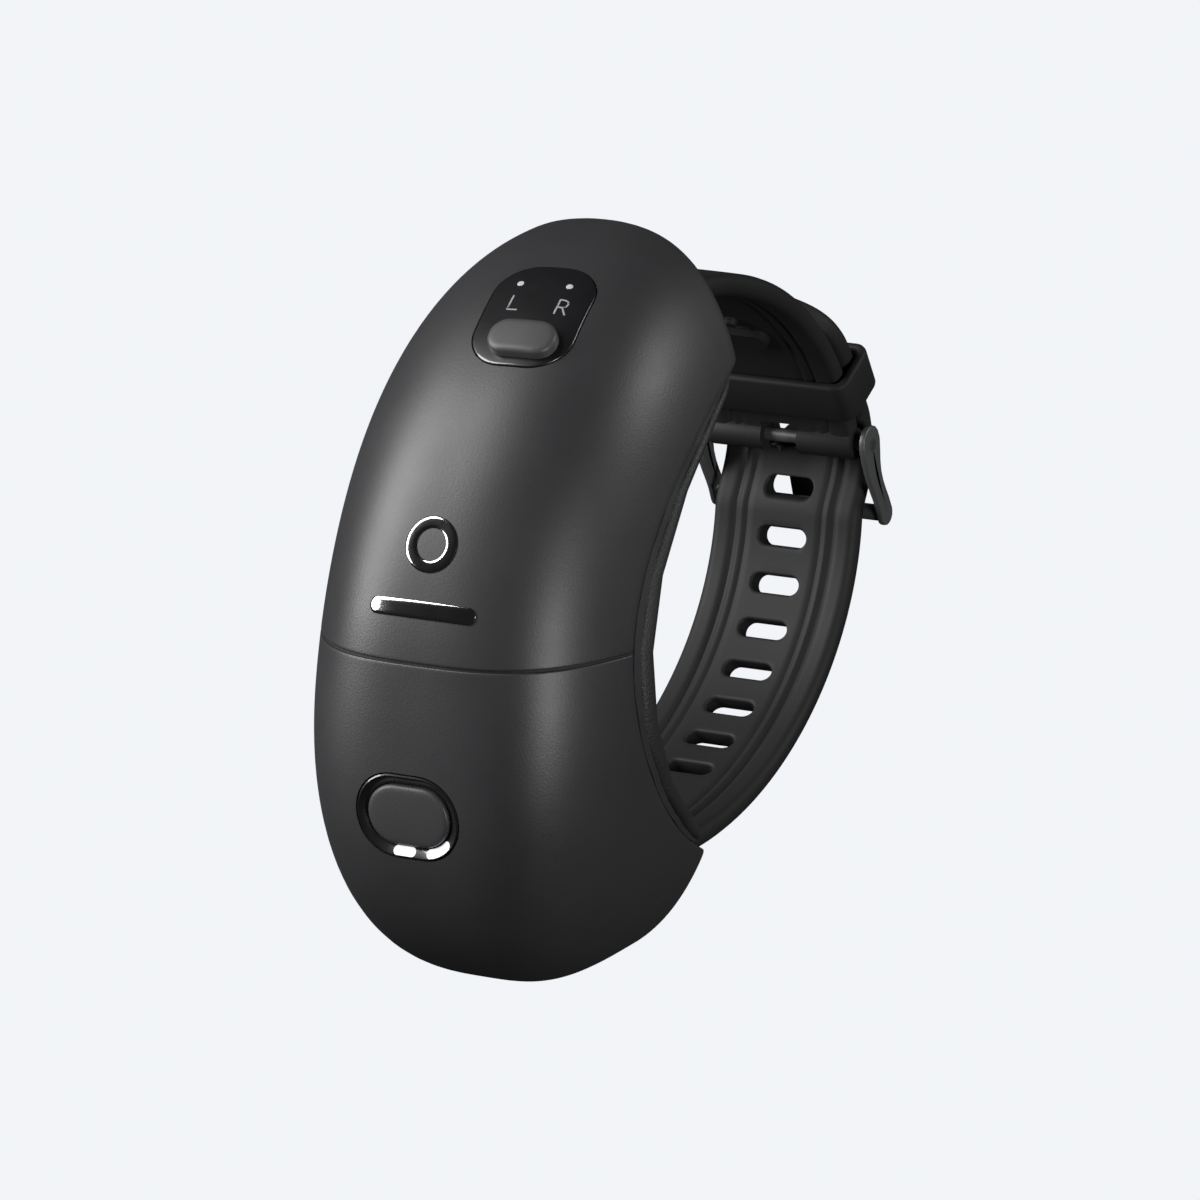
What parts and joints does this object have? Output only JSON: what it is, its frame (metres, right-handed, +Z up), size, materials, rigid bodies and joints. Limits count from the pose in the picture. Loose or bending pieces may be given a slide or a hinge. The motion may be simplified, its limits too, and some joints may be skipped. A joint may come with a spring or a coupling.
{
  "type": "wrist-worn motion controller",
  "caption": "Curved wrist-worn motion tracker with a side switch panel, a round power button, a padded wrist hollow and a buckled silicone strap.",
  "frame": {"origin": "in the wrist opening, midway between the flat backs of the body's two tips, on the axis of the wearer's wrist", "axes": "+X along the forearm to the right as seen from the front, -Y outwards from the front of the body, +Z up along the body to its upper tip"},
  "size_m": [0.0458, 0.107, 0.094],
  "materials": {
    "shell": "fine-grained charcoal moulding, soft satin",
    "seal": "matte black rubber",
    "frame_plastic": "plain black moulding",
    "steel": "plain stainless steel",
    "pad": "black grained synthetic leather over foam",
    "gloss_black": "polished black",
    "knob": "fine-textured dark grey",
    "white_plastic": "natural nylon",
    "light_pipe": "clouded clear light pipe",
    "emblem": "dark mirror inlay",
    "board": "green circuit board with solder mask",
    "chip": "black moulded chip packages",
    "cell": "dull foil pouch",
    "flex": "amber polyimide film",
    "strap": "matte black silicone",
    "gunmetal": "dark bead-blasted steel with bright edges"
  },
  "bodies": {
    "tracker": {"upper_shell": "shell", "lower_shell": "shell", "parting_seal": "seal", "inner_frame": "frame_plastic", "case_screws": "steel", "pad_plate": "frame_plastic", "wrist_pad": "pad", "switch_panel": "gloss_black", "slide_switch": "steel", "switch_board": "board", "status_lights": "light_pipe", "emblem_ring": "emblem", "emblem_bar": "emblem", "button_ring": "gloss_black", "button_lights": "light_pipe", "tactile_switch": "steel", "button_board": "board", "main_board": "board", "board_chips": "chip", "battery": "cell", "switch_flex": "flex", "button_flex": "flex", "usb_port": "steel", "upper_strap": "strap", "lower_strap": "strap", "upper_spring_bar": "steel", "lower_spring_bar": "steel", "buckle_pin": "gunmetal"},
    "switch_slider": {"switch_knob": "knob", "switch_carriage": "white_plastic"},
    "power_button": {"button_cap": "knob"},
    "upper_left_plunger": {"upper_left_plunger": "steel"},
    "upper_right_plunger": {"upper_right_plunger": "steel"},
    "lower_left_plunger": {"lower_left_plunger": "steel"},
    "lower_right_plunger": {"lower_right_plunger": "steel"},
    "buckle": {"buckle_frame": "gunmetal"},
    "tang": {"buckle_tang": "gunmetal"},
    "keeper": {"strap_keeper": "strap"}
  },
  "joints": [
    {"name": "switch_slide", "type": "slide", "parent": "tracker", "child": "switch_slider", "axis": [-1, 0, 0], "range_m": [0, 0.0016]},
    {"name": "button_press", "type": "slide", "parent": "tracker", "child": "power_button", "axis": [0, 0.9987, 0.0506], "range_m": [0, 0.0005], "stiffness_N_per_m": 3000, "springref_m": -0.0002},
    {"name": "upper_left_release", "type": "slide", "parent": "tracker", "child": "upper_left_plunger", "axis": [1, 0, 0], "range_m": [0, 0.0011], "stiffness_N_per_m": 900, "springref_m": -0.0005},
    {"name": "upper_right_release", "type": "slide", "parent": "tracker", "child": "upper_right_plunger", "axis": [-1, 0, 0], "range_m": [0, 0.0011], "stiffness_N_per_m": 900, "springref_m": -0.0005},
    {"name": "lower_left_release", "type": "slide", "parent": "tracker", "child": "lower_left_plunger", "axis": [1, 0, 0], "range_m": [0, 0.0011], "stiffness_N_per_m": 900, "springref_m": -0.0005},
    {"name": "lower_right_release", "type": "slide", "parent": "tracker", "child": "lower_right_plunger", "axis": [-1, 0, 0], "range_m": [0, 0.0011], "stiffness_N_per_m": 900, "springref_m": -0.0005},
    {"name": "buckle_lift", "type": "hinge", "parent": "tracker", "child": "buckle", "pos_m": [0, 0.05565, 0.00715], "axis": [1, 0, 0], "range_deg": [0, 20]},
    {"name": "tang_lift", "type": "hinge", "parent": "buckle", "child": "tang", "pos_m": [0, 0.05565, 0.00715], "axis": [1, 0, 0], "range_deg": [0, 10]},
    {"name": "keeper_slide", "type": "slide", "parent": "tracker", "child": "keeper", "axis": [0, -0.4863, 0.8738], "range_m": [-0.0008, 0.0012]}
  ]
}
